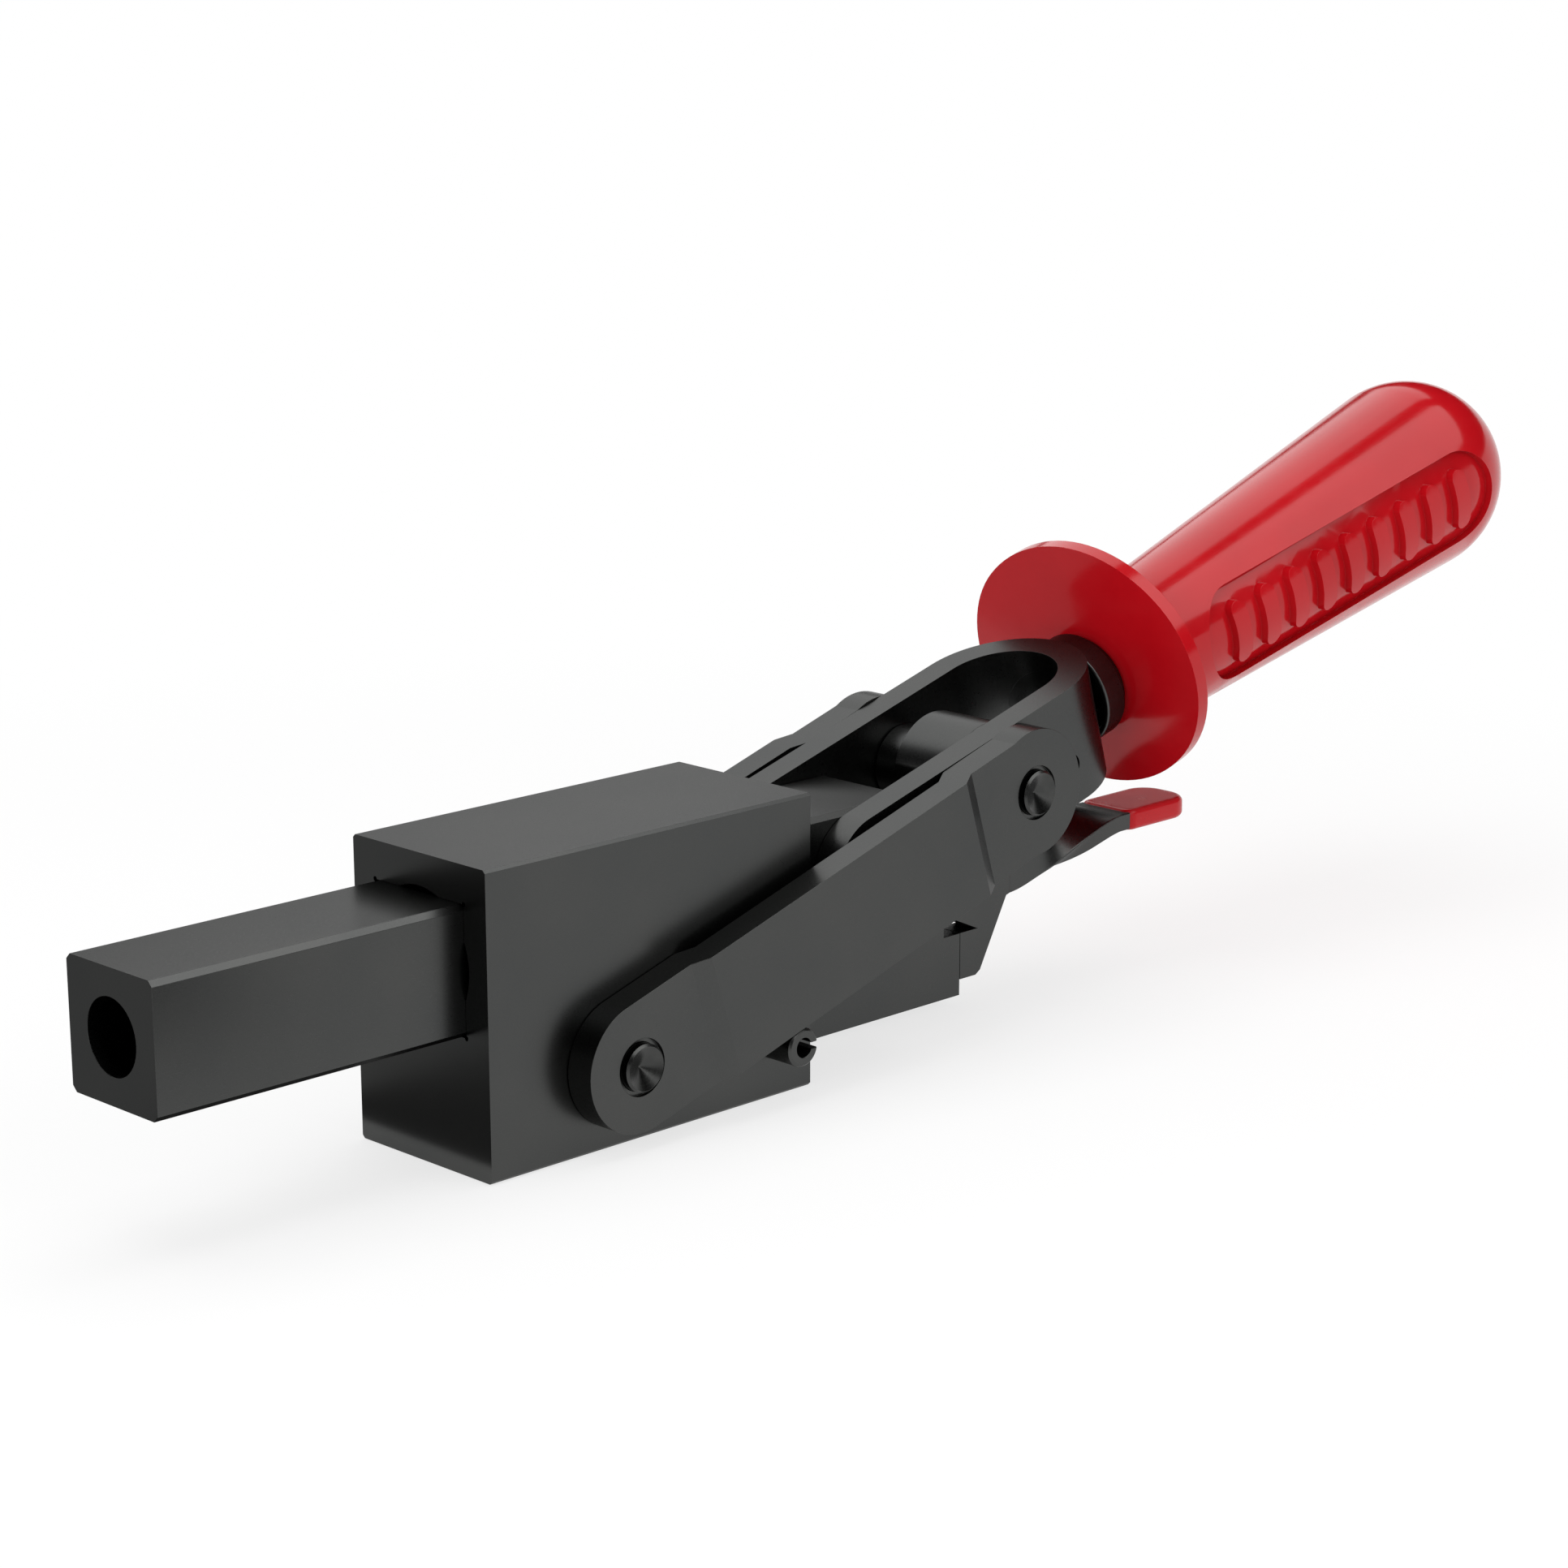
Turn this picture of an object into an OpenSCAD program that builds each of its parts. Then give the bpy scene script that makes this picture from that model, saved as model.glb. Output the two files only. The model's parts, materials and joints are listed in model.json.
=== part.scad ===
// Push and pull toggle clamp with a square plunger, a lever handle and a release lever.
// Origin: middle of the front bottom edge of the block. +X runs back to the grip, +Z is up.

/* [Block] */
// Length of the guide block, front to rear
block_l = 82.9; // [80:0.1:90]
// Width of the guide block
block_w = 38.1; // [36:0.1:38.1]
// Height of the guide block
block_h = 60; // [58:0.5:66]
// Radius of the round hole that the square passage is broached from
pilot_r = 13.95; // [13:0.05:15]
// Depth of the tapped fixing holes in the base
base_hole_depth = 16; // [8:0.5:20]

/* [Plunger] */
// Side of the square plunger bar
plunger_side = 25.4; // [24:0.1:25.4]
// Height of the plunger's axis above the base
plunger_z = 39.7; // [39.2:0.1:40.2]
// Front face of the plunger, ahead of the block
plunger_front_x = -68.3; // [-90:0.1:-40]
// Rear face of the plunger
plunger_rear_x = 117.3; // [115:0.1:118]
// Chamfer along the plunger's long edges
plunger_chamfer = 1.1; // [0.3:0.1:2]
// Radius of the tapped hole for the plunger's tip
tip_hole_r = 7.27; // [4:0.01:8]
// Depth of that hole
tip_hole_depth = 42; // [20:1:60]

/* [Links] */
// Height of the body pivot above the base
body_pivot_z = 17; // [16.8:0.1:17.2]
// Distance of the body pivot from the block's front face
body_pivot_x = 31.8; // [31:0.1:32.5]
// Distance between the two pivots of a link
link_reach = 115.6; // [115:0.1:116]
// Tilt of the links when the clamp is locked
link_tilt = 17.02; // [16.9:0.01:17.1]
// Thickness of a link
link_t = 6.35; // [5:0.05:6.35]
// Half the height of a link
link_half_h = 12.97; // [12:0.01:13.2]
// How far the middle of a link is set outwards
link_set = 2.03; // [1:0.01:2.1]

/* [Handle] */
// Tilt of the yoke and the grip when the clamp is locked
handle_tilt = 16.1; // [15.5:0.1:16.5]
// Thickness of the yoke's strap
strap_t = 6.3; // [5:0.05:6.3]
// Height of the yoke's strap
strap_h = 25.4; // [24:0.1:26.5]
// Distance from the plunger's pin to the centre of the yoke's bend
bend_s = 58.4; // [57.5:0.1:59]
// Width of the oval hand guard
guard_w = 62.4; // [58:0.1:66]
// Height of the oval hand guard
guard_h = 55.6; // [52:0.1:57]
// Thickness of the hand guard
guard_t = 3.2; // [2:0.1:5]
// Radius of the grip where it leaves the guard
grip_neck_r = 15.6; // [14.5:0.01:17]
// Growth of the grip's radius for each millimetre of its length
grip_taper = 0.06; // [0.04:0.005:0.07]
// Length of the grip from the front of the guard to its end
grip_l = 140.2; // [125:0.1:150]
// Depth of the sunk panel in each side of the grip
panel_depth = 1.8; // [1:0.1:2.5]
// Number of anti-slip bars in a panel
panel_bars = 9; // [5:1:9]

/* [Release lever] */
// Thickness of the lever's plate
lever_t = 6.35; // [5:0.05:6.35]
// Radius of the lever's hub on the handle's pin
hub_r = 12.7; // [10:0.1:13]
// Width of the finger tab
tab_w = 14; // [12:0.1:16]
// Thickness of the finger tab
tab_t = 3.75; // [3:0.05:4]
// Rear end of the finger tab
tab_end_x = 215.4; // [205:0.1:218]
// Thickness of the red cover on the tab
cover_t = 0.45; // [0.3:0.05:0.8]

/* [Hidden] */
$fn = 96;

// Colours as in the photograph
steel = [0.30, 0.30, 0.29];
pin_steel = [0.36, 0.36, 0.35];
red = [0.75, 0.12, 0.14];

// Fits: a runner turns or slides with a little play, a gap keeps two moving bodies apart
run_play = 0.05;
side_gap = 0.12;
past = 1;          // how far a cutting shape runs past a face

// Block
passage_side = plunger_side + 2 * run_play;
corner_relief_r = 0.5;
base_hole_r = 3.4;
base_hole_x = [14, 52];
base_hole_y = 11.5;
edge_break = 0.6;
tongue_slot_x = 60;

// Pins
pin_r = 4.7625;
pin_proud = 1.2;
pin_chamfer = 0.5;
stop_pin = [73.2, 11.8];
stop_pin_r = 3.95;
stop_pin_bore_r = 2;
stop_pin_slot = 1.3;

// Links: inner face beside the yoke and the block, and the set-out middle
tine_in = plunger_side / 2 + side_gap;
tine_out = tine_in + strap_t;
link_in = tine_out + side_gap;
link_out = link_in + link_t;
link_eye_r = 5.69;
link_eye_depth = 0.9;
set_start_front = 17.3;
set_end_front = 21;
set_start_rear = 17;
set_end_rear = 20.7;
link_end_r = 13.4;      // rear end, a little fuller than the bar

// Pivots in the side view, as [x, z]
pivot_a = [body_pivot_x, body_pivot_z];
pivot_b = pivot_a + link_reach * [cos(link_tilt), sin(link_tilt)];
pivot_c_x = body_pivot_x + (plunger_z - body_pivot_z) / tan(link_tilt);
pivot_c = [pivot_c_x, plunger_z];

// Handle: its own axes run along the strap from the plunger's pin
strap_rise = 0.8;       // the strap's middle line passes a little above the plunger's pin
tine_end_s = -3;        // centre of the tines' round front ends
bend_out = tine_out;
flat_s = bend_s + bend_out - 0.15;
spot_s = bend_s + tine_in + 0.6;
stud_r = 6;
stud_head_r = 8;
stud_head_t = 2.6;
stud_end_s = 152;
stud_rise = 0.5;
ferrule_r = 12;
ferrule_bore_r = 10.5;
ferrule_neck_r = 10.6;
ferrule_floor_s = 82.2;
ferrule_neck_s = 83.4;
guard_s = 85.1;
guard_rise = 4.24;
guard_end_arc_r = 25.5;
grip_rise = -0.2;
near_spacer_r = 7;
far_spacer_r = 8.5;

// Grip panel, along and across the grip's axis
panel_start_s = 107.4;
panel_end_s = 206.6;
panel_half_h = 11;
bar_w = 4.6;
bar_h = 14.5;
bar_first_s = 118.5;
bar_last_s = 195.5;

// Latch tongue behind the block: its upper rear corner is stepped
tongue_t = lever_t;
tongue_x = 63;
tongue_end_x = 143.8;
tongue_low = 2.17;
tongue_high = 19.2;
tongue_step = [138.8, 15.9];
tongue_gap = 0.15;      // between the tongue's end and the lever's heel

// Release lever, as [x, z] at rest
lever_gap = 0.2;
hub_flat = 2.1;
hub_flat_angle = 200;
heel_low = 5.6;
heel = [150.3, 6.5];
notch = [149.2, 15.95];
nose = [142.5, 19];
knee = [158.4, 21.45];
foot_bend = [170.5, 26.3];
tab_low = [190.7, 30.2];
foot_top_x = 180;
tab_corner_r = 5.5;
cover_start_x = 193.2;

// Hollows that part the lever's plate from its foot: cones from above the knee
scoop_rise = 1;
scoop_tilt = 31;
scoop_turn = 11.6;
scoop_spread = 10;
scoop_l = 45;

// Release spring round the near spacer, and the pin that holds its long leg
spring_pin_at = [160.6, 52.3];
spring_pin_r = 2.5;
spring_wire_r = 0.6;
spring_coil_r = 8.2;
spring_turn = 1010.5;
spring_first_y = -4.4;
spring_last_y = -11.5;
leg_one = 15;
leg_two = 20;
spring_steps = 44;
spring_sides = 8;

// Radius of the grip at a distance s from the plunger's pin
function grip_r(s) = grip_neck_r + grip_taper * (s - guard_s);

// Children are drawn in the handle's own axes
module in_handle() {
    translate([pivot_c[0], 0, pivot_c[1]]) rotate([0, -handle_tilt, 0]) children();
}

// A cylinder along Y between two places, centred on a point of the side view
module cross_cylinder(at, r, y_from, y_to) {
    translate([at[0], y_to, at[1]]) rotate([90, 0, 0]) cylinder(r = r, h = y_to - y_from);
}

// A plate whose outline lies in the side view, between two places along Y
module side_plate(y_from, y_to) {
    translate([0, y_to, 0]) rotate([90, 0, 0]) linear_extrude(y_to - y_from) children();
}

// A round pin along Y with chamfered ends
module cross_pin(at, r, half_l, chamfer) {
    translate([at[0], half_l, at[1]]) rotate([90, 0, 0]) rotate_extrude()
        polygon([[0, 0], [r - chamfer, 0], [r, chamfer], [r, 2 * half_l - chamfer],
                 [r - chamfer, 2 * half_l], [0, 2 * half_l]]);
}

module chamfered_square(side, chamfer) {
    h = side / 2;
    polygon([[-h, -h + chamfer], [-h, h - chamfer], [-h + chamfer, h], [h - chamfer, h],
             [h, h - chamfer], [h, -h + chamfer], [h - chamfer, -h], [-h + chamfer, -h]]);
}

// Guide block

// The block's end view: a rectangle with its long edges broken
module block_end() {
    w = block_w / 2;
    polygon([[-w, edge_break], [-w, block_h - edge_break], [-w + edge_break, block_h],
             [w - edge_break, block_h], [w, block_h - edge_break], [w, edge_break],
             [w - edge_break, 0], [-w + edge_break, 0]]);
}

// Square passage with its round pilot hole and relieved corners
module passage_outline() {
    h = passage_side / 2;
    translate([0, plunger_z]) {
        square(passage_side, center = true);
        circle(r = pilot_r);
        for (a = [-1, 1], b = [-1, 1]) translate([a * h, b * h]) circle(r = corner_relief_r, $fn = 24);
    }
}

module along_x(from, to) {
    translate([from, 0, 0]) rotate([90, 0, 90]) linear_extrude(to - from) children();
}

module body_block() {
    color(steel) difference() {
        along_x(0, block_l) block_end();
        along_x(-past, block_l + past) passage_outline();
        cross_cylinder(pivot_a, pin_r, -block_w, block_w);
        cross_cylinder(stop_pin, stop_pin_r, -block_w, block_w);
        translate([tongue_slot_x, -tongue_t / 2 - run_play, -past])
            cube([block_l, tongue_t + 2 * run_play, tongue_high + run_play + past]);
        for (x = base_hole_x, side = [-1, 1])
            translate([x, side * base_hole_y, -past])
                cylinder(r = base_hole_r, h = base_hole_depth + past);
    }
}

// Latch tongue, standing in the block's slot on the slotted pin
module latch_tongue() {
    color(steel) difference() {
        side_plate(-tongue_t / 2, tongue_t / 2)
            polygon([[tongue_x, tongue_low], [tongue_end_x, tongue_low], [tongue_end_x, tongue_step[1]],
                     tongue_step, [tongue_step[0], tongue_high], [tongue_x, tongue_high]]);
        cross_cylinder(stop_pin, stop_pin_r, -tongue_t, tongue_t);
    }
}

// Rolled spring pin, slotted along its rear side: the links rest on its ends
module slotted_stop_pin() {
    half_l = link_out + link_set - 0.5;
    color(pin_steel) difference() {
        cross_pin(stop_pin, stop_pin_r, half_l, pin_chamfer);
        cross_cylinder(stop_pin, stop_pin_bore_r, -half_l - past, half_l + past);
        translate([stop_pin[0], -half_l - past, stop_pin[1] - stop_pin_slot / 2])
            cube([stop_pin_r + past, 2 * half_l + 2 * past, stop_pin_slot]);
    }
}

module body_pivot_pin() {
    color(pin_steel) cross_pin(pivot_a, pin_r, link_out + pin_proud, pin_chamfer);
}

// Plunger

module plunger() {
    color(steel) difference() {
        along_x(plunger_front_x, plunger_rear_x)
            translate([0, plunger_z]) chamfered_square(plunger_side, plunger_chamfer);
        translate([plunger_front_x - past, 0, plunger_z]) rotate([0, 90, 0])
            cylinder(r = tip_hole_r, h = tip_hole_depth + past);
        cross_cylinder(pivot_c, pin_r, -plunger_side, plunger_side);
    }
}

module plunger_pin() {
    color(pin_steel) cross_pin(pivot_c, pin_r, plunger_side / 2, 0.2);
}

// Links: a bar with round ends whose middle is set outwards to clear the stop pin's bush

// Plan of a link on the +Y side: the strap steps out and back between the pivots. The corners of
// its inner face are shifted, so that the thickness stays the same through the bends.
module link_plan() {
    shift = link_t * tan(atan(link_set / (set_end_front - set_start_front)) / 2);
    f0 = set_start_front;
    f1 = set_end_front;
    r0 = link_reach - set_start_rear;
    r1 = link_reach - set_end_rear;
    end = 2 * link_half_h;
    polygon([[-end, link_in], [f0 + shift, link_in], [f1 + shift, link_in + link_set],
             [r1 - shift, link_in + link_set], [r0 - shift, link_in],
             [link_reach + end, link_in], [link_reach + end, link_out],
             [r0, link_out], [r1, link_out + link_set], [f1, link_out + link_set],
             [f0, link_out], [-end, link_out]]);
}

module link_side() {
    circle(r = link_half_h);
    translate([0, -link_half_h]) square([link_reach, 2 * link_half_h]);
    translate([link_reach, 0]) circle(r = link_end_r);
}

// side is -1 for the near link and 1 for the far one
module link(side) {
    color(steel) translate([pivot_a[0], 0, pivot_a[1]]) rotate([0, -link_tilt, 0])
    difference() {
        intersection() {
            side_plate(-2 * link_out, 2 * link_out) link_side();
            translate([0, 0, -2 * link_half_h]) linear_extrude(4 * link_half_h)
                mirror([0, side > 0 ? 0 : 1]) link_plan();
        }
        for (s = [0, link_reach]) {
            cross_cylinder([s, 0], pin_r + run_play, -2 * link_out, 2 * link_out);
            if (side > 0) cross_cylinder([s, 0], link_eye_r, link_out - link_eye_depth, 2 * link_out);
            else cross_cylinder([s, 0], link_eye_r, -2 * link_out, -link_out + link_eye_depth);
        }
    }
}

module link_near() { link(-1); }

module link_far() { link(1); }

// Handle

// Plan of the bent strap: two tines and a half-round bend
module strap_plan() {
    front = -strap_h;
    difference() {
        union() {
            translate([front, -bend_out]) square([bend_s - front, 2 * bend_out]);
            translate([bend_s, 0]) circle(r = bend_out);
        }
        translate([front - past, -tine_in]) square([bend_s - front + past, 2 * tine_in]);
        translate([bend_s, 0]) circle(r = tine_in);
        translate([flat_s, -bend_out]) square(2 * bend_out);
    }
}

// Side view of the strap with its round front ends
module strap_side() {
    half = strap_h / 2;
    translate([tine_end_s, 0]) circle(r = half);
    translate([tine_end_s, -half]) square([bend_s + 2 * bend_out - tine_end_s, strap_h]);
}

module yoke() {
    b = handle_point(pivot_b);
    held = handle_point(spring_pin_at);
    color(steel) in_handle() difference() {
        intersection() {
            translate([0, 0, strap_rise - strap_h]) linear_extrude(2 * strap_h) strap_plan();
            translate([0, 0, strap_rise]) side_plate(-2 * bend_out, 2 * bend_out) strap_side();
        }
        cross_cylinder([0, 0], pin_r + run_play, -2 * bend_out, 2 * bend_out);
        cross_cylinder(b, pin_r, -2 * bend_out, 2 * bend_out);
        cross_cylinder(held, spring_pin_r, -2 * bend_out, 2 * bend_out);
        translate([bend_s, 0, stud_rise]) rotate([0, 90, 0]) {
            cylinder(r = stud_r, h = 2 * bend_out);
            cylinder(r = stud_head_r + 0.3, h = spot_s - bend_s);
        }
    }
}

// A point of the side view in the handle's own axes
function handle_point(p) = let (d = p - pivot_c)
    [d[0] * cos(handle_tilt) + d[1] * sin(handle_tilt), -d[0] * sin(handle_tilt) + d[1] * cos(handle_tilt)];

module handle_pin() {
    color(pin_steel) cross_pin(pivot_b, pin_r, link_out + pin_proud, pin_chamfer);
}

// Spacers on the handle's pin hold the lever's hub in the middle: side is -1 for the near one
module lever_spacer(side, r) {
    from = lever_t / 2 + lever_gap;
    to = tine_in - run_play;
    color(pin_steel) difference() {
        if (side > 0) cross_cylinder(pivot_b, r, from, to);
        else cross_cylinder(pivot_b, r, -to, -from);
        cross_cylinder(pivot_b, pin_r, -tine_out, tine_out);
    }
}

module lever_spacer_near() { lever_spacer(-1, near_spacer_r); }

module lever_spacer_far() { lever_spacer(1, far_spacer_r); }

// A round piece along the handle, drawn from a profile of [radius, distance], whose axis passes
// above or below the plunger's pin by a rise
module turned(rise) {
    in_handle() translate([0, 0, rise]) rotate([0, 90, 0]) rotate_extrude() children();
}

module handle_stud() {
    head_s = spot_s - stud_head_t;
    color(pin_steel) turned(stud_rise)
        polygon([[0, head_s], [stud_head_r - 0.8, head_s], [stud_head_r, head_s + 0.8],
                 [stud_head_r, spot_s], [stud_r, spot_s], [stud_r, stud_end_s - 1],
                 [stud_r - 1, stud_end_s], [0, stud_end_s]]);
}

// A cup that opens towards the yoke, with a narrower neck against the guard
module ferrule() {
    color(steel) turned(stud_rise)
        polygon([[ferrule_bore_r, flat_s], [ferrule_r, flat_s], [ferrule_r, ferrule_neck_s],
                 [ferrule_neck_r, ferrule_neck_s], [ferrule_neck_r, guard_s], [stud_r, guard_s],
                 [stud_r, ferrule_floor_s], [ferrule_bore_r, ferrule_floor_s]]);
}

// Oval of four arcs, wide along the first axis
module oval(w, h, end_r) {
    shift = w / 2 - end_r;
    // radius of the two flat arcs, which touch the end arcs without a kink
    flat_r = (shift * shift + h * h / 4 - end_r * end_r) / (h - 2 * end_r);
    lift = flat_r - h / 2;
    touch = flat_r * shift / sqrt(shift * shift + lift * lift);
    for (side = [-1, 1]) translate([side * shift, 0]) circle(r = end_r);
    intersection() {
        translate([0, lift]) circle(r = flat_r);
        translate([0, -lift]) circle(r = flat_r);
        square([2 * touch, h], center = true);
    }
}

// Half outline of the grip's body: a slow taper that ends in a ball
module grip_profile(inset) {
    slope = atan(grip_taper);
    ball_s = guard_s + (grip_l - grip_neck_r * cos(slope)) / (1 + grip_taper * cos(slope));
    ball_r = grip_r(ball_s) * cos(slope);
    touch_s = ball_s - ball_r * sin(slope);
    polygon([[0, guard_s], [grip_r(guard_s) - inset, guard_s], [grip_r(touch_s) - inset, touch_s],
             [0, touch_s]]);
    intersection() {
        translate([0, ball_s]) circle(r = ball_r - inset);
        translate([0, touch_s]) square([2 * ball_r, 2 * ball_r]);
    }
}

module stadium(from, to, half_h) {
    for (s = [from + half_h, to - half_h]) translate([s, 0]) circle(r = half_h);
    translate([from + half_h, -half_h]) square([to - from - 2 * half_h, 2 * half_h]);
}

// One upright anti-slip bar with round ends
module bar(s) {
    for (end = [-1, 1]) translate([s, end * (bar_h - bar_w) / 2]) circle(r = bar_w / 2, $fn = 32);
    square_h = bar_h - bar_w;
    translate([s - bar_w / 2, -square_h / 2]) square([bar_w, square_h]);
}

module panel_outline() {
    pitch = (bar_last_s - bar_first_s) / (panel_bars - 1);
    difference() {
        stadium(panel_start_s, panel_end_s, panel_half_h);
        for (i = [0 : panel_bars - 1]) bar(bar_first_s + i * pitch);
    }
}

module grip() {
    reach = 2 * grip_r(guard_s + grip_l);
    color(red) difference() {
        union() {
            turned(grip_rise) grip_profile(0);
            in_handle() translate([guard_s, 0, guard_rise]) rotate([90, 0, 90])
                linear_extrude(guard_t) oval(guard_w, guard_h, guard_end_arc_r);
        }
        // the sunk panels: what lies outside a slightly thinner grip, within the outline
        difference() {
            in_handle() translate([0, 0, grip_rise]) side_plate(-reach, reach) panel_outline();
            turned(grip_rise) grip_profile(panel_depth);
        }
        turned(stud_rise) translate([0, guard_s - past]) square([stud_r, stud_end_s - guard_s + past]);
    }
}

// Release lever

// The plate: nose, notch and heel below, an arm in front and the hub above, with a flat that
// clears the plunger's rear end as the handle swings up
module plate_outline() {
    arm_x = 149.85;
    heel_x = tongue_end_x + tongue_gap;
    top = tab_low[1] + tab_t;
    difference() {
        union() {
            polygon([[140.5, 21], nose, notch, [heel_x, notch[1]], [heel_x, heel_low],
                     [heel[0] - 1.4, heel_low], heel, knee, foot_bend, [188, 30.5], [188, top],
                     [arm_x, top], [arm_x, 41], pivot_b, [133.2, 42], [136, 30]]);
            difference() {
                translate(pivot_b) circle(r = hub_r);
                translate(pivot_b) rotate(hub_flat_angle) translate([hub_r - hub_flat, -hub_r])
                    square(2 * hub_r);
            }
        }
        translate(pivot_b) circle(r = pin_r + run_play);
    }
}

// The foot widens from the knee to the level finger tab
module foot_outline() {
    end = tab_end_x + past;
    top = tab_low[1] + tab_t;
    polygon([knee, foot_bend, tab_low, [end, tab_low[1]], [end, top], [foot_top_x, top]]);
}

// Plan of the foot and of the tab with its rounded end
module tab_plan(grow) {
    r = tab_corner_r + grow;
    w = tab_w / 2 + grow;
    end = tab_end_x + grow;
    for (side = [-1, 1]) translate([end - r, side * (w - r)]) circle(r = r);
    translate([end - r, r - w]) square([r, 2 * (w - r)]);
    polygon([[knee[0], -lever_t / 2], [tab_low[0], -w], [end - r, -w], [end - r, w],
             [tab_low[0], w], [knee[0], lever_t / 2]]);
}

module scoop(side) {
    translate([knee[0], side * lever_t / 2, knee[1] + scoop_rise])
        rotate([0, 0, side * scoop_turn]) rotate([0, 90 - scoop_tilt, 0])
            cylinder(r1 = 0, r2 = scoop_l * tan(scoop_spread), h = scoop_l);
}

module release_lever() {
    color(steel) union() {
        side_plate(-lever_t / 2, lever_t / 2) plate_outline();
        difference() {
            intersection() {
                side_plate(-tab_w, tab_w) foot_outline();
                linear_extrude(block_h) tab_plan(0);
            }
            scoop(-1);
            scoop(1);
        }
    }
}

// Red dipped cover on the finger tab
module lever_tip_cover() {
    low = tab_low[1] - cover_t;
    color(red) difference() {
        translate([0, 0, low]) linear_extrude(tab_t + 2 * cover_t) intersection() {
            tab_plan(cover_t);
            translate([cover_start_x + cover_t, -tab_w]) square([tab_end_x, 2 * tab_w]);
        }
        translate([0, 0, tab_low[1]]) linear_extrude(tab_t) tab_plan(0);
    }
}

module spring_pin() {
    color(pin_steel) cross_pin(spring_pin_at, spring_pin_r, tine_out - 0.4, 0.4);
}

// Torsion spring round the near spacer: a tube swept along a straight leg beside the lever's arm,
// the turns and the leg that passes under the spring's pin
function unit(v) = v / norm(v);
function coil_point(t) = let (a = t * spring_turn)
    [pivot_b[0] + spring_coil_r * cos(a), spring_first_y + t * (spring_last_y - spring_first_y),
     pivot_b[1] + spring_coil_r * sin(a)];
function coil_heading(t) = let (a = t * spring_turn) [-sin(a), 0, cos(a)];
spring_path = concat(
    [coil_point(0) - leg_one * coil_heading(0)],
    [for (i = [0 : spring_steps]) coil_point(i / spring_steps)],
    [coil_point(1) + leg_two * coil_heading(1)]);

function heading(path, i) = let (last = len(path) - 1)
    unit(path[min(i + 1, last)] - path[max(i - 1, 0)]);
function ring(path, i, r, sides) = let (t = heading(path, i), u = unit(cross(t, [0, 1, 0])), v = cross(u, t))
    [for (k = [0 : sides - 1]) path[i] + r * (u * cos(360 * k / sides) + v * sin(360 * k / sides))];

module swept_wire(path, r, sides) {
    rings = len(path);
    points = [for (i = [0 : rings - 1]) each ring(path, i, r, sides)];
    walls = [for (i = [0 : rings - 2], k = [0 : sides - 1]) let (n = (k + 1) % sides)
        each [[i * sides + k, i * sides + n, (i + 1) * sides + n],
              [i * sides + k, (i + 1) * sides + n, (i + 1) * sides + k]]];
    front = [for (k = [0 : sides - 1]) sides - 1 - k];
    rear = [for (k = [0 : sides - 1]) (rings - 1) * sides + k];
    polyhedron(points, concat(walls, [front, rear]), convexity = 8);
}

module lever_spring() {
    color(pin_steel) swept_wire(spring_path, spring_wire_r, spring_sides);
}

body_block();
latch_tongue();
slotted_stop_pin();
body_pivot_pin();
plunger();
plunger_pin();
link_near();
link_far();
yoke();
handle_pin();
lever_spacer_near();
lever_spacer_far();
handle_stud();
ferrule();
grip();
spring_pin();
lever_spring();
release_lever();
lever_tip_cover();
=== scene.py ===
import json
import math

import bmesh
import bpy
import numpy as np
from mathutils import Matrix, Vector

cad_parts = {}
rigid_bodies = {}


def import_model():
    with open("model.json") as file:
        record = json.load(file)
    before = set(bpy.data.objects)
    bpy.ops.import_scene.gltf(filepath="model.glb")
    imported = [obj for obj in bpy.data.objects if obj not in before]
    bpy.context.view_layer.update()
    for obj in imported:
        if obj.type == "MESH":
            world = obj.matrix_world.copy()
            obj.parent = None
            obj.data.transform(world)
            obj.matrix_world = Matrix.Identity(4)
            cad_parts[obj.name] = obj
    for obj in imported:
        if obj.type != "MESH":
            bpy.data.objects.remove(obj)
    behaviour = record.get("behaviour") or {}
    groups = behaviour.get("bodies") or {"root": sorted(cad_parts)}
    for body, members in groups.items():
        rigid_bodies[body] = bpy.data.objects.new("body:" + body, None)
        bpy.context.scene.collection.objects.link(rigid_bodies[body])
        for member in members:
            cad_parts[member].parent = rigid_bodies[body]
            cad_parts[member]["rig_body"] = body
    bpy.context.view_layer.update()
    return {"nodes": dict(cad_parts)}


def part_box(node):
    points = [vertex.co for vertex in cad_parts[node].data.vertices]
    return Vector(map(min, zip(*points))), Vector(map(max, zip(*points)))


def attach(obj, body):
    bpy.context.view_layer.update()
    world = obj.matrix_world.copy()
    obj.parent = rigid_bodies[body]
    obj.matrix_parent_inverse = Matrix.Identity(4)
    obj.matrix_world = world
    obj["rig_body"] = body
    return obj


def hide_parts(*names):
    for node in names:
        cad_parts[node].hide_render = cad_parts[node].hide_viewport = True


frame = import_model()
nodes = frame["nodes"]
millimetre = 0.001
fullTurn = 2 * math.pi
quarterTurn = math.pi / 2
print("packed nodes:", len(nodes))


def nodeCentre(name):
    low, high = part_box(name)
    return np.array((low + high) / 2)


# Meshes

mergeWithin = 0.004 * millimetre    # points nearer to each other than this become one


def closeAndTurnOut(mesh, flatWithin=0.0):
    # doubles merged, nearly level neighbours joined, normals turned out
    work = bmesh.new()
    work.from_mesh(mesh)
    bmesh.ops.remove_doubles(work, verts=work.verts, dist=mergeWithin)
    if flatWithin > 0:
        bmesh.ops.dissolve_limit(
            work, angle_limit=math.radians(flatWithin), verts=work.verts, edges=work.edges)
    bmesh.ops.recalc_face_normals(work, faces=work.faces)
    work.to_mesh(mesh)
    work.free()
    mesh.update()


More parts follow.
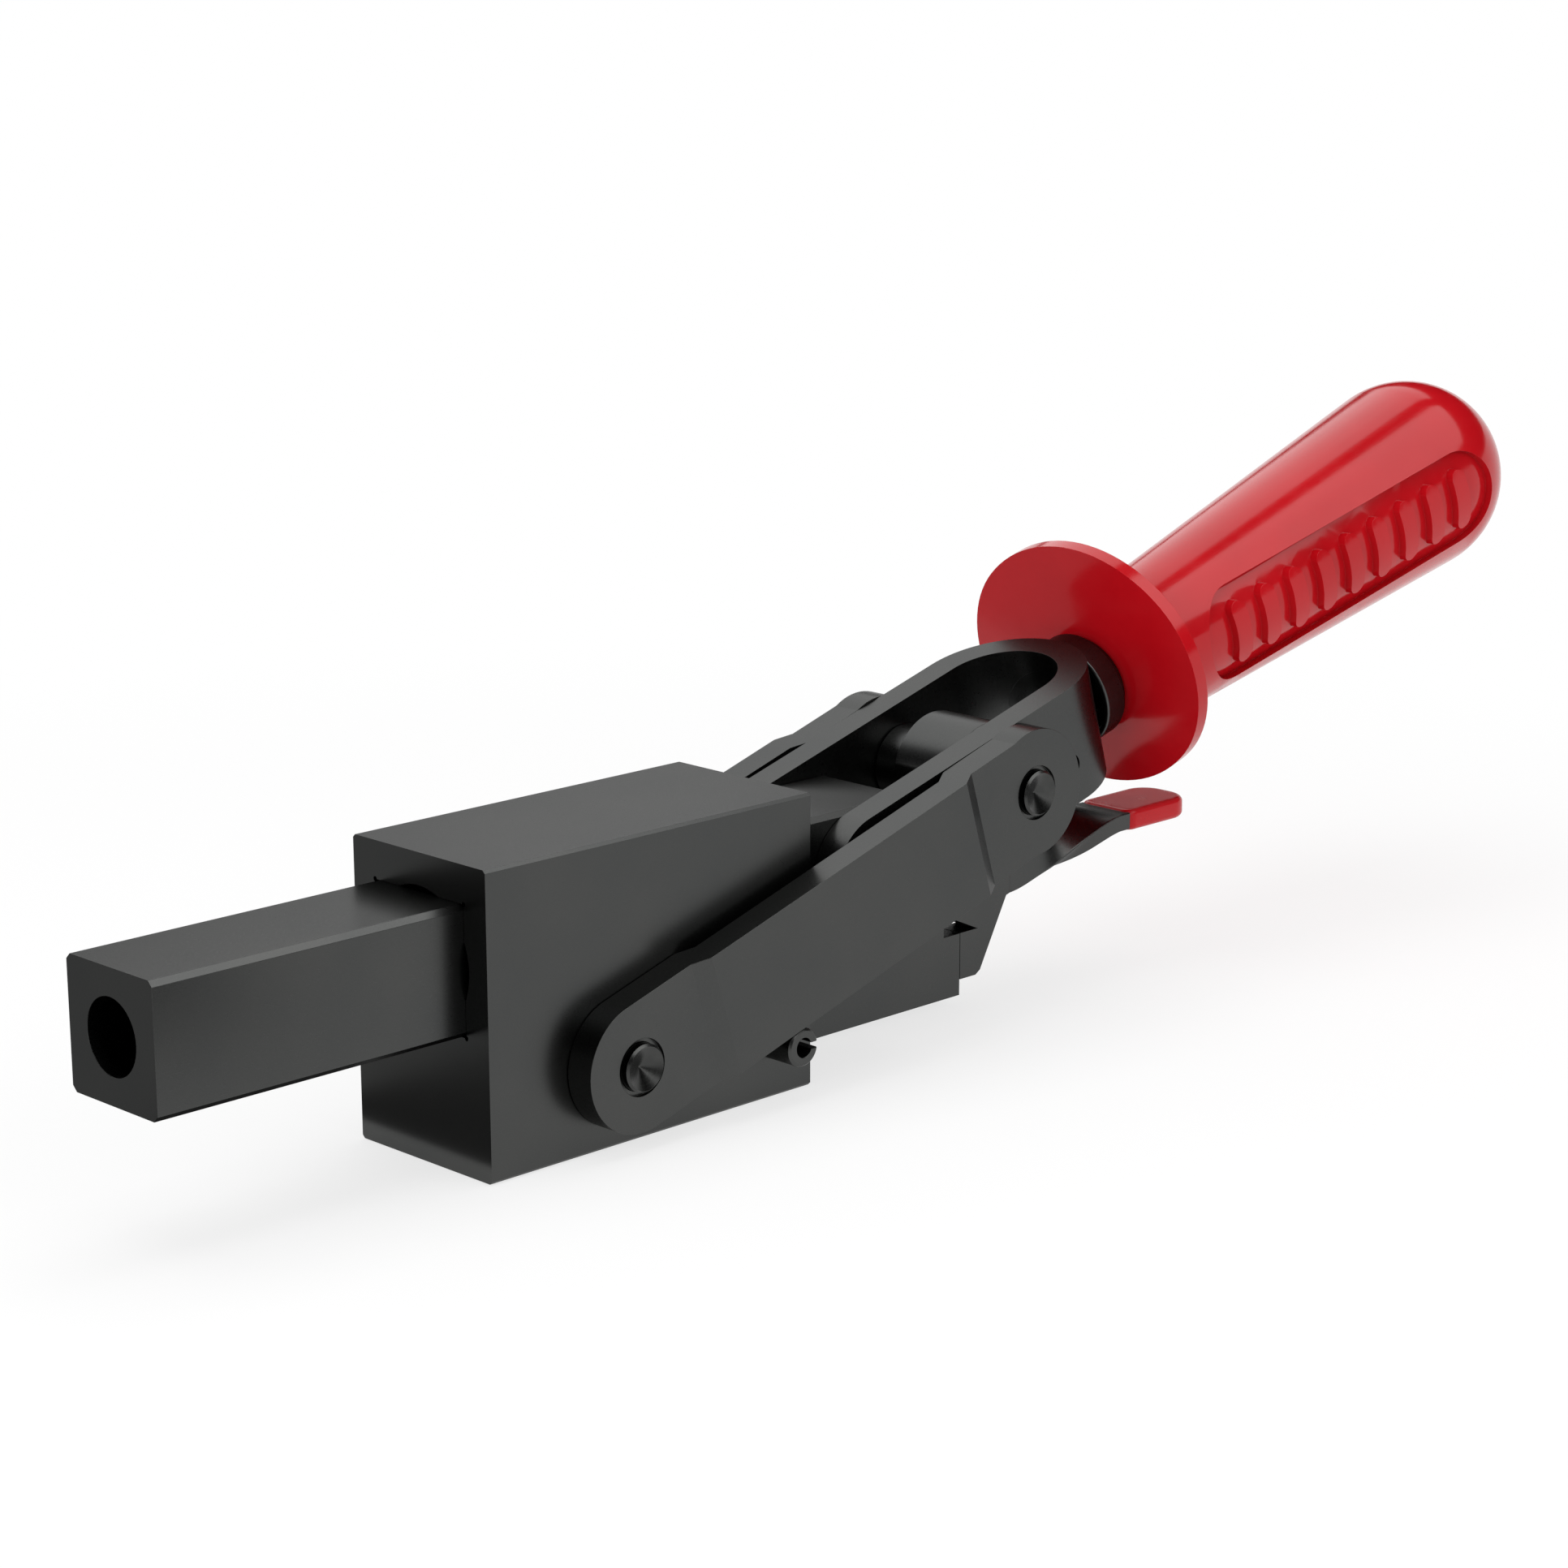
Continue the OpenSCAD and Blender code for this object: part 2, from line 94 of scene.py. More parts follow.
def addPiece(name, points, faces, body, sharpAbove, uv=None):
    # a mesh from an array of points, its doubles merged, its faces turned out, its edges kept sharp
    # where they turn by more degrees than sharpAbove
    mesh = bpy.data.meshes.new(name)
    mesh.from_pydata(points.reshape(-1, 3).tolist(), [], faces.tolist())
    if uv is not None:
        layer = mesh.uv_layers.new(name="wrap")
        layer.uv.foreach_set("vector", uv.reshape(-1, 2)[faces.ravel()].ravel())
    closeAndTurnOut(mesh)
    mesh.shade_smooth()
    mesh.set_sharp_from_angle(angle=math.radians(sharpAbove))
    piece = bpy.data.objects.new(name, mesh)
    bpy.context.scene.collection.objects.link(piece)
    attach(piece, body)
    return piece


def gridFaces(rows, columns, closed=False):
    # quads of a grid of points, whose last row may join its first
    row = np.arange(rows if closed else rows - 1)[:, None]
    column = np.arange(columns - 1)[None, :]
    here = row * columns + column
    above = (row + 1) % rows * columns + column
    return np.stack([here, here + 1, above + 1, above], axis=-1).reshape(-1, 4)


def gridUv(rows, columns):
    # U runs round the piece and V along it
    u, v = np.meshgrid(np.linspace(0, 1, columns), np.linspace(0, 1, rows))
    return np.stack([u, v], axis=-1)


def subdivided(corners, step):
    # the corners of a profile with points between them, no further apart than the step
    parts = [corners[:1]]
    for start, end in zip(corners[:-1], corners[1:]):
        count = max(1, math.ceil(np.linalg.norm(end - start) / step))
        share = np.linspace(0, 1, count + 1)[1:, None]
        parts.append(start + share * (end - start))
    return np.concatenate(parts)


# Steel parts and the grip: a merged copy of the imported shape, its sharp edges eased

# node: name, bevel in millimetres, and the angle in degrees above which an edge is eased
easedEdges = {
    "body_block": ("guideBlock", 0.1, 25),
    "plunger": ("plungerBar", 0.1, 25),
    "link_near": ("nearLink", 0.08, 11),
    "link_far": ("farLink", 0.08, 11),
    "yoke": ("bentYoke", 0.2, 25),
    "latch_tongue": ("latchPlate", 0.08, 25),
    "release_lever": ("releaseLever", 0.12, 40),
    "ferrule": ("gripFerrule", 0.6, 25),
    "slotted_stop_pin": ("rolledStopPin", 0.15, 25),
    "lever_spacer_near": ("nearSpacer", 0.25, 25),
    "lever_spacer_far": ("farSpacer", 0.6, 25),
    "grip": ("mouldedGrip", 0.25, 28),
}
levelWithin = 0.6       # degrees: flatter joints between two faces are taken out of the copy
bevelSegments = 2


def easedCopy(node, name, width, above):
    source = nodes[node]
    mesh = source.data.copy()
    mesh.name = name
    for layer in ("custom_normal", "sharp_edge"):
        mesh.attributes.remove(mesh.attributes[layer])
    closeAndTurnOut(mesh, levelWithin)
    mesh.shade_smooth()
    piece = bpy.data.objects.new(name, mesh)
    bpy.context.scene.collection.objects.link(piece)
    bevel = piece.modifiers.new("easedEdge", "BEVEL")
    bevel.width = width * millimetre
    bevel.segments = bevelSegments
    bevel.limit_method = "ANGLE"
    bevel.angle_limit = math.radians(above)
    bevel.use_clamp_overlap = True
    bevel.harden_normals = True
    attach(piece, source["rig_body"])
    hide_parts(node)
    return piece


easedPieces = {node: easedCopy(node, *edge) for node, edge in easedEdges.items()}
print("parts with eased edges:", len(easedPieces))


# Pivot pins: turned, with a shallow cone sunk into each end

turnedPin = {
    "hollow": 2.2,       # millimetres, depth of the cone in each end
    "chamfer": 0.45,
    "step": 0.35,        # between two rings of the mesh
    "columns": 128,
}


def makePivotPin(name, node):
    # point(u, v) = centre + radius(v) * (cos u, 0, sin u) + place(v) along Y
    low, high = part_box(node)
    half = (high.y - low.y) / 2
    radius = (high.z - low.z) / 2
    chamfer = turnedPin["chamfer"] * millimetre
    hollow = turnedPin["hollow"] * millimetre
    corners = np.array([
        [0, -half + hollow], [radius - chamfer, -half], [radius, -half + chamfer],
        [radius, half - chamfer], [radius - chamfer, half], [0, half - hollow]])
    profile = subdivided(corners, turnedPin["step"] * millimetre)
    turn = np.linspace(0, fullTurn, turnedPin["columns"] + 1)[None, :]
    across = profile[:, :1]
    along = profile[:, 1:]
    ring = np.stack([across * np.cos(turn), along + 0 * turn, across * np.sin(turn)], axis=-1)
    grid = ring.shape[:2]
    body = nodes[node]["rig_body"]
    piece = addPiece(name, nodeCentre(node) + ring, gridFaces(*grid), body, sharpAbove=12, uv=gridUv(*grid))
    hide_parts(node)
    return piece


pivotPins = [makePivotPin("frontPivotPin", "body_pivot_pin"), makePivotPin("rearPivotPin", "handle_pin")]
print("pivot pins turned:", len(pivotPins))


# Sleeve of the lever's hub, round the near spacer and the spring

hubSleeve = {
    "radius": 12.7,        # millimetres
    "bore": 9.4,
    "from": -3.0,          # along Y, just inside the lever's plate
    "to": -12.45,
    "edge": 0.5,
    "flat": 10.6,          # from the pin to the flat that the plunger's rear end passes
    "flatAngle": 200.0,    # degrees
    "leastCosine": 0.1,    # smallest divisor, on the side away from the flat
    "columns": 180,
    "rings": 10,           # along the outside
    "edgeRings": 7,        # round the rounded edge
}


def makeHubSleeve():
    # point(u, v) = pin + radius(u, v) * (cos u, 0, sin u) + place(v) along Y, where the flat holds the
    # radius in
    turn = np.linspace(0, fullTurn, hubSleeve["columns"] + 1)[None, :]
    towardsFlat = np.cos(turn - math.radians(hubSleeve["flatAngle"]))
    toFlat = hubSleeve["flat"] / np.maximum(towardsFlat, hubSleeve["leastCosine"])
    outer = np.minimum(hubSleeve["radius"], toFlat)
    edge = hubSleeve["edge"]
    start = hubSleeve["from"]
    end = hubSleeve["to"]
    bore = hubSleeve["bore"]
    # rings from the bore, over the outside and back: share of the wall, inset from the outside, place on Y
    b = np.linspace(0, quarterTurn, hubSleeve["edgeRings"])
    rings = [(0, 0, start), (1, 0, start)]
    rings += [(1, 0, y) for y in np.linspace(start, end + edge, hubSleeve["rings"])[1:]]
    rings += [(1, edge * (1 - math.cos(x)), end + edge * (1 - math.sin(x))) for x in b[1:]]
    rings += [(0, 0, end)]
    radius = np.concatenate([bore + share * (outer - inset - bore) for share, inset, y in rings])
    place = np.array([y for share, inset, y in rings])[:, None] + 0 * turn
    ring = np.stack([radius * np.cos(turn), place, radius * np.sin(turn)], axis=-1)
    points = nodeCentre("handle_pin") + millimetre * ring
    faces = gridFaces(*points.shape[:2], closed=True)
    piece = addPiece("leverHub", points, faces, "release", sharpAbove=30)
    return piece


leverHub = makeHubSleeve()
print("hub sleeve made")


# Foot of the lever: the upright plate turns through a quarter twist into the level finger tab

leverFoot = {
    "cut": 160.0,                  # millimetres along X, where the copy of the plate is cut off
    "x": (159.4, 194.5),           # the foot's own ends
    "twist": (163.5, 191.5),       # where the quarter turn starts and ends
    "evenShare": 0.35,             # of the turn is even, and the rest starts and ends gently
    # pairs of a place along X and, there, the bar's middle height, half its width and its thickness
    "height": ((159.4, 27.6), (164.0, 27.6), (171.0, 28.9), (179.0, 31.0), (187.0, 32.07), (194.5, 32.07)),
    "halfWidth": ((159.4, 6.0), (168.0, 4.8), (176.0, 5.3), (189.0, 7.0), (194.5, 7.0)),
    "thickness": ((159.4, 6.39), (176.0, 6.3), (189.0, 3.8), (194.5, 3.75)),
    "blend": 2.5,                  # to each side of a place, over which these tables are rounded off
    "corner": 0.3,
    "cornerPoints": 5,
    "besideCorner": 0.2,           # from a corner's end to the next point along the side
    "stations": 110,
    "blendPoints": 11,
}


def cutBehind(mesh, x):
    # what lies behind the plane is taken off and the cut closed
    work = bmesh.new()
    work.from_mesh(mesh)
    everything = work.verts[:] + work.edges[:] + work.faces[:]
    cut = bmesh.ops.bisect_plane(
        work, geom=everything, plane_co=(x, 0, 0), plane_no=(1, 0, 0), clear_outer=True)
    edges = [part for part in cut["geom_cut"] if isinstance(part, bmesh.types.BMEdge)]
    bmesh.ops.holes_fill(work, edges=edges)
    work.to_mesh(mesh)
    work.free()
    mesh.shade_smooth()


def alongFoot(table, x):
    # the table's value at each place, its corners rounded off by a running mean
    places, values = np.array(table).T
    shifts = np.linspace(-leverFoot["blend"], leverFoot["blend"], leverFoot["blendPoints"])[:, None]
    return np.interp(x + shifts, places, values).mean(axis=0)


def makeFoot():
    # ring(x) = middle line + p * down + q * out, where down and out turn about X by the twist's angle and
    # p, q run round a rectangle of half width and half thickness with rounded corners
    x = np.linspace(*leverFoot["x"], leverFoot["stations"])
    start, end = leverFoot["twist"]
    share = np.clip((x - start) / (end - start), 0, 1)
    even = leverFoot["evenShare"]
    angle = (even * share + (1 - even) * share * share * (3 - 2 * share)) * quarterTurn
    half = alongFoot(leverFoot["halfWidth"], x)[:, None]
    thick = alongFoot(leverFoot["thickness"], x)[:, None] / 2
    # how far a corner's points lie in from the two sides that would meet there
    corner = leverFoot["corner"]
    side = corner + leverFoot["besideCorner"]
    b = np.linspace(0, quarterTurn, leverFoot["cornerPoints"])
    fromEdge = np.concatenate([[0], corner * (1 - np.cos(b)), [side]])
    fromFace = np.concatenate([[side], corner * (1 - np.sin(b)), [0]])
    p = [half - fromEdge, fromEdge[::-1] - half, fromEdge - half, half - fromEdge[::-1]]
    q = [thick - fromFace, thick - fromFace[::-1], fromFace - thick, fromFace[::-1] - thick]
    # the first point again at the end closes the ring
    p = np.concatenate([*p, p[0][:, :1]], axis=1)
    q = np.concatenate([*q, q[0][:, :1]], axis=1)
    # a dot in the middle of each end closes it
    p = np.concatenate([0 * p[:1], p, 0 * p[:1]])
    q = np.concatenate([0 * q[:1], q, 0 * q[:1]])
    x = np.concatenate([x[:1], x, x[-1:]])[:, None]
    angle = np.concatenate([angle[:1], angle, angle[-1:]])[:, None]
    middle = alongFoot(leverFoot["height"], x.ravel())[:, None]
    y = -p * np.sin(angle) - q * np.cos(angle)
    z = middle - p * np.cos(angle) + q * np.sin(angle)
    points = np.stack([x + 0 * p, y, z], axis=-1) * millimetre
    piece = addPiece("twistedFoot", points, gridFaces(*points.shape[:2]), "release", sharpAbove=50)
    return piece


cutBehind(easedPieces["release_lever"].data, leverFoot["cut"] * millimetre)
twistedFoot = makeFoot()
print("lever's foot twisted")


# Stud of the handle, its head set flush with the inside of the yoke's bend

handleTilt = math.radians(16.1)
handleAlong = np.array([math.cos(handleTilt), 0, math.sin(handleTilt)])
handleUp = np.array([-math.sin(handleTilt), 0, math.cos(handleTilt)])
flushStud = {
    "rise": 0.5,           # millimetres above the plunger pin's line
    "bendCentre": 58.4,    # distances from that pin
    "bendRadius": 12.82,
    "headRadius": 8.28,
    "headEnd": 71.8,
    "shaftRadius": 6.0,
    "shaftEnd": 152.0,
    "columns": 96,
    "faceRings": 14,       # from the middle of the head's face to its edge
}


def makeStud():
    # the head's face follows the bend: s = bend centre + root of (bend radius squared - y squared)
    turn = np.linspace(0, fullTurn, flushStud["columns"] + 1)[None, :]
    head = flushStud["headRadius"]
    shaft = flushStud["shaftRadius"]
    faceRadius = np.linspace(0, head, flushStud["faceRings"])[:, None]
    faceY = faceRadius * np.cos(turn)
    face = flushStud["bendCentre"] + np.sqrt(flushStud["bendRadius"] ** 2 - faceY ** 2)
    # behind the face: the back of the head, the shaft and its end
    backRadius = np.array([head, shaft, shaft, 0])[:, None]
    back = np.array([flushStud["headEnd"]] * 2 + [flushStud["shaftEnd"]] * 2)[:, None]
    s = np.concatenate([face, back + 0 * turn])[..., None]
    radius = np.concatenate([faceRadius, backRadius])
    y = (radius * np.cos(turn))[..., None]
    rise = flushStud["rise"] + (radius * np.sin(turn))[..., None]
    fromPin = s * handleAlong + rise * handleUp + y * np.array([0, 1.0, 0])
    points = nodeCentre("plunger_pin") + millimetre * fromPin
    piece = addPiece("handleStud", points, gridFaces(*points.shape[:2]), "handle", sharpAbove=25)
    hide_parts("handle_stud")
    return piece


handleStud = makeStud()
print("handle stud made")


# Release spring: round wire along a leg, the turns and the other leg

springWire = {
    "radius": 0.6,        # millimetres
    "coilRadius": 8.2,
    "turned": 1010.5,     # degrees from the first leg to the last
    "firstY": -4.4,
    "lastY": -11.5,
    "firstLeg": 15.0,
    "lastLeg": 20.0,
    "legStart": 0.5,      # from the coil to a leg's first ring
    "endShare": 0.8,      # of the wire's radius is left at its two cut ends
    "coilRings": 150,
    "legRings": 8,
    "sides": 14,
}


def springPath():
    # point(t) = handle pin + coil radius * (cos a, 0, sin a), where a and y grow evenly with t, and a
    # straight leg before and after
    centre = nodeCentre("handle_pin") / millimetre
    a = np.radians(np.linspace(0, springWire["turned"], springWire["coilRings"]))
    y = np.linspace(springWire["firstY"], springWire["lastY"], len(a))
    r = springWire["coilRadius"]
    coil = np.stack([centre[0] + r * np.cos(a), y, centre[2] + r * np.sin(a)], axis=-1)
    heading = np.stack([-np.sin(a), 0 * a, np.cos(a)], axis=-1)
    gap = springWire["legStart"]
    firstLeg = np.linspace(springWire["firstLeg"], gap, springWire["legRings"])[:, None]
    lastLeg = np.linspace(gap, springWire["lastLeg"], springWire["legRings"])[:, None]
    first = coil[0] - firstLeg * heading[0]
    last = coil[-1] + lastLeg * heading[-1]
    return np.concatenate([first, coil, last]) * millimetre


def makeSpring():
    # rings square to the path: point = path + radius * (cos b * side + sin b * lift), and a dot at each end
    path = springPath()
    heading = np.gradient(path, axis=0)
    heading /= np.linalg.norm(heading, axis=1, keepdims=True)
    side = np.cross(heading, [0.0, 1.0, 0.0])
    side /= np.linalg.norm(side, axis=1, keepdims=True)
    lift = np.cross(side, heading)
    b = np.linspace(0, fullTurn, springWire["sides"] + 1)[None, :, None]
    wire = springWire["radius"] * millimetre
    cutEnd = springWire["endShare"] * wire
    radius = np.concatenate([[0, cutEnd], np.full(len(path), wire), [cutEnd, 0]])[:, None, None]
    order = [0, 0, *range(len(path)), -1, -1]
    out = np.cos(b) * side[order][:, None] + np.sin(b) * lift[order][:, None]
    rings = path[order][:, None] + radius * out
    grid = rings.shape[:2]
    piece = addPiece("releaseSpring", rings, gridFaces(*grid), "handle", sharpAbove=50, uv=gridUv(*grid))
    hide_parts("lever_spring")
    return piece


releaseSpring = makeSpring()
print("spring wound")


# Red cover on the release lever's tab: a flat pad with rounded edges

dippedCover = {
    "edgeRadius": 1.3,      # millimetres, rounding of its edges
    "endRadius": 5.95,      # rounding of its two rear corners, seen from above
    "frontRadius": 1.4,
    "around": 24,           # points round a corner
    "across": 12,           # rings from the middle of a face to its edge
    "edgeRings": 15,
}


def padOutline(low, high, frontRadius, endRadius, count):
    # the plan: four quarter circles joined by straight sides, as x and y with the outward direction
    quarter = np.linspace(0, quarterTurn, count)
    places = []
    directions = []
    corners = [(high[0], high[1], endRadius, 0), (low[0], high[1], frontRadius, 1),
               (low[0], low[1], frontRadius, 2), (high[0], low[1], endRadius, 3)]
    for x, y, radius, number in corners:
        a = quarter + number * quarterTurn
        out = np.stack([np.cos(a), np.sin(a)], axis=-1)
        centre = np.array([x, y]) - radius * np.sign(out[count // 2])
        places.append(centre + radius * out)
        directions.append(out)
    return np.concatenate(places), np.concatenate(directions)


def makeCover():
    # rings from the middle of the top, out, round the edge and back to the middle of the bottom:
    # ring(k) = middle + k * (outline - middle), then outline + edge radius * (cos b out, sin b up)
    low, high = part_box("lever_tip_cover")
    edge = dippedCover["edgeRadius"] * millimetre
    front = dippedCover["frontRadius"] * millimetre
    end = dippedCover["endRadius"] * millimetre - edge
    outline, out = padOutline(np.array([low.x, low.y]) + edge, np.array([high.x, high.y]) - edge,
                              front, end, dippedCover["around"])
    outline = np.concatenate([outline, outline[:1]])
    out = np.concatenate([out, out[:1]])
    middle = outline.mean(axis=0)
    k = np.linspace(0, 1, dippedCover["across"])[:-1, None, None]
    b = np.linspace(quarterTurn, -quarterTurn, dippedCover["edgeRings"])[:, None, None]
    flat = middle + k * (outline - middle)
    rim = outline + edge * np.cos(b) * out
    plan = np.concatenate([flat, rim, flat[::-1]])
    rise = np.where(b > 0, high.z - edge, low.z + edge) + edge * np.sin(b)
    z = np.concatenate([np.full(len(flat), high.z), rise.ravel(), np.full(len(flat), low.z)])
    points = np.concatenate([plan, np.broadcast_to(z[:, None, None], (*plan.shape[:2], 1))], axis=-1)
    piece = addPiece("dippedTip", points, gridFaces(*points.shape[:2]), "release", sharpAbove=60)
    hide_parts("lever_tip_cover")
    return piece


tipCover = makeCover()
print("tab cover made")


# Materials

noiseMiddle = (0.3, 0.7)    # nearly all of a noise texture's values lie between these


def newMaterial(name):
    material = bpy.data.materials.new(name)
    material.use_nodes = True
    tree = material.node_tree
    shader = tree.nodes["Principled BSDF"]
    place = tree.nodes.new("ShaderNodeTexCoord")
    return material, tree, shader, place


def noise(tree, vector, scale, detail, stretch=(1, 1, 1)):
    mapping = tree.nodes.new("ShaderNodeMapping")
    mapping.inputs["Scale"].default_value = stretch
    tree.links.new(vector, mapping.inputs["Vector"])
    texture = tree.nodes.new("ShaderNodeTexNoise")
    texture.inputs["Scale"].default_value = scale
    texture.inputs["Detail"].default_value = detail
    tree.links.new(mapping.outputs["Vector"], texture.inputs["Vector"])
    return texture.outputs["Fac"]


def spread(tree, value, low, high):
    # the middle of the noise spread over low to high
    node = tree.nodes.new("ShaderNodeMapRange")
    node.inputs["From Min"].default_value = noiseMiddle[0]
    node.inputs["From Max"].default_value = noiseMiddle[1]
    node.inputs["To Min"].default_value = low
    node.inputs["To Max"].default_value = high
    tree.links.new(value, node.inputs["Value"])
    return node.outputs["Result"]


def twoColours(tree, factor, dark, light):
    ramp = tree.nodes.new("ShaderNodeValToRGB")
    for element, position, colour in zip(ramp.color_ramp.elements, noiseMiddle, (dark, light)):
        element.position = position
        element.color = (*colour, 1)
    tree.links.new(factor, ramp.inputs["Fac"])
    return ramp.outputs["Color"]


def bump(tree, shader, height, distance):
    node = tree.nodes.new("ShaderNodeBump")
    node.inputs["Strength"].default_value = 1.0
    node.inputs["Distance"].default_value = distance
    tree.links.new(height, node.inputs["Height"])
    tree.links.new(node.outputs["Normal"], shader.inputs["Normal"])


steelLook = {
    "dark": (0.070, 0.072, 0.071),
    "light": (0.077, 0.078, 0.076),
    "grazing": 0.65,          # how bright the metal turns at a grazing view
    "rough": (0.27, 0.33),
    "mottleScale": 45.0,      # per metre, the blacking's faint clouds
    "grainScale": 1400.0,     # per metre, the surface's fine grain
    "grainDepth": 0.0000012,  # metres
}


def blackenedSteel(name, grain):
    # grain: how much closer the grain lies along X, Y and Z
    material, tree, shader, place = newMaterial(name)
    mottle = noise(tree, place.outputs["Object"], steelLook["mottleScale"], 3.0)
    lines = noise(tree, place.outputs["Object"], steelLook["grainScale"], 3.0, grain)
    colour = twoColours(tree, mottle, steelLook["dark"], steelLook["light"])
    tree.links.new(colour, shader.inputs["Base Color"])
    tree.links.new(spread(tree, lines, *steelLook["rough"]), shader.inputs["Roughness"])
    shader.inputs["Metallic"].default_value = 1.0
    shader.inputs["Specular Tint"].default_value = (*3 * [steelLook["grazing"]], 1)
    bump(tree, shader, lines, steelLook["grainDepth"])
    return material


turnedLook = {
    "dark": (0.052, 0.053, 0.052),
    "light": (0.066, 0.067, 0.065),
    "rough": (0.22, 0.28),
    "cloudScale": 300.0,      # per metre
    "ringScale": 160.0,       # tool marks along the whole profile
    "ringDepth": 0.000004,    # metres
    "anisotropy": 0.7,
}


def turnedSteel(name):
    # rings along the profile's own coordinate, and a highlight drawn out round the axis
    material, tree, shader, place = newMaterial(name)
    rings = noise(tree, place.outputs["UV"], turnedLook["ringScale"], 2.0, (0, 1, 0))
    cloud = noise(tree, place.outputs["Object"], turnedLook["cloudScale"], 2.0)
    colour = twoColours(tree, cloud, turnedLook["dark"], turnedLook["light"])
    tree.links.new(colour, shader.inputs["Base Color"])
    tree.links.new(spread(tree, rings, *turnedLook["rough"]), shader.inputs["Roughness"])
    shader.inputs["Metallic"].default_value = 1.0
    shader.inputs["Anisotropic"].default_value = turnedLook["anisotropy"]
    tangent = tree.nodes.new("ShaderNodeTangent")
    tangent.direction_type = "UV_MAP"
    tangent.uv_map = "wrap"
    tree.links.new(tangent.outputs["Tangent"], shader.inputs["Tangent"])
    bump(tree, shader, rings, turnedLook["ringDepth"])
    return material


redLook = {
    "dark": (0.43, 0.0035, 0.0075),
    "light": (0.49, 0.0055, 0.0105),
    "gripRough": (0.13, 0.17),
    "gripGloss": 0.32,        # specular level
    "coverRough": (0.22, 0.28),
    "coverGloss": 0.22,
    "cloudScale": 40.0,       # per metre
    "peelScale": 260.0,       # per metre, the moulding's faint waviness
    "peelDepth": 0.000004,    # metres
}


def redPlastic(name, rough, gloss):
    material, tree, shader, place = newMaterial(name)
    cloud = noise(tree, place.outputs["Object"], redLook["cloudScale"], 4.0)
    peel = noise(tree, place.outputs["Object"], redLook["peelScale"], 2.0)
    colour = twoColours(tree, cloud, redLook["dark"], redLook["light"])
    tree.links.new(colour, shader.inputs["Base Color"])
    tree.links.new(spread(tree, peel, *rough), shader.inputs["Roughness"])
    shader.inputs["IOR"].default_value = 1.5
    shader.inputs["Specular IOR Level"].default_value = gloss
    bump(tree, shader, peel, redLook["peelDepth"])
    return material


blockSteel = blackenedSteel("groundBlackSteel", (1, 6, 6))
linkSteel = blackenedSteel("rolledBlackSteel", (1, 3, 1))
pinSteel = blackenedSteel("plainPinSteel", (1, 1, 1))
pinEndSteel = turnedSteel("turnedPinSteel")
gripRed = redPlastic("mouldedRed", redLook["gripRough"], redLook["gripGloss"])
coverRed = redPlastic("dippedRed", redLook["coverRough"], redLook["coverGloss"])

# material and slot of the eased parts that aren't rolled black steel
materialUse = {
    "body_block": (blockSteel, "dark_steel"),
    "plunger": (blockSteel, "dark_steel"),
    "slotted_stop_pin": (pinSteel, "pin_steel"),
    "lever_spacer_near": (pinSteel, "pin_steel"),
    "lever_spacer_far": (pinSteel, "pin_steel"),
    "grip": (gripRed, "red_grip"),
}


def dress(piece, material):
    piece.data.materials.clear()
    piece.data.materials.append(material)


for name, piece in easedPieces.items():
    material, slot = materialUse.get(name, (linkSteel, "dark_steel"))
    dress(piece, material)
for piece in pivotPins:
    dress(piece, pinEndSteel)
for piece in (leverHub, twistedFoot, handleStud):
    dress(piece, linkSteel)
dress(releaseSpring, pinSteel)
dress(tipCover, coverRed)
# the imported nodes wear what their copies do
for name, node in nodes.items():
    if name in easedPieces:
        dress(node, easedPieces[name].data.materials[0])
    else:
        dress(node, coverRed if name == "lever_tip_cover" else pinSteel)
print("materials made")


# Camera, at the photograph's place: its aim and lens were fitted to the block's and the plunger's corners

photoWidth = 1932              # pixels, and as high
cameraSetup = {
    "place": (-410.82, -512.54, 232.09),   # millimetres
    "azimuth": -45.0,
    "elevation": 15.0,
    "focal": 4534.658,         # pixels of the photograph, as the two shifts are
    "shiftX": -31.4,
    "shiftY": 102.2,
    "film": 36,                # millimetres
}


def makeCamera():
    data = bpy.data.cameras.new("camera")
    camera = bpy.data.objects.new("camera", data)
    bpy.context.scene.collection.objects.link(camera)
    data.lens = cameraSetup["focal"] / photoWidth * cameraSetup["film"]
    data.sensor_width = cameraSetup["film"]
    data.sensor_fit = "HORIZONTAL"
    data.shift_x = cameraSetup["shiftX"] / photoWidth
    data.shift_y = cameraSetup["shiftY"] / photoWidth
    data.clip_start = 0.01
    data.clip_end = 100
    camera.location = [x * millimetre for x in cameraSetup["place"]]
    camera.rotation_euler = (
        math.radians(90 - cameraSetup["elevation"]), 0, math.radians(cameraSetup["azimuth"]))
    bpy.context.scene.camera = camera


makeCamera()
print("camera placed")


# Floor and world: plain white for the camera and in reflections

studio = {
    "worldLight": 0.55,       # what the world adds to matt surfaces
    "floorSize": 30.0,        # metres
    "floorPlace": (0.07, 0, -0.0002),
    "floorGrey": 0.9,
    "shadowShare": 0.3,       # how much of the floor's own shading shows beside the object
    "shadowReach": 0.45,      # metres from the object's middle at which it has faded out
}


def seenDirectly(tree):
    # 1 for camera, glossy and transmission rays, so that metal shows the plain background too
    rays = tree.nodes.new("ShaderNodeLightPath")
    seen = rays.outputs["Is Camera Ray"]
    for kind in ("Is Glossy Ray", "Is Transmission Ray"):
        larger = tree.nodes.new("ShaderNodeMath")
        larger.operation = "MAXIMUM"
        tree.links.new(seen, larger.inputs[0])
        tree.links.new(rays.outputs[kind], larger.inputs[1])
        seen = larger.outputs[0]
    return seen


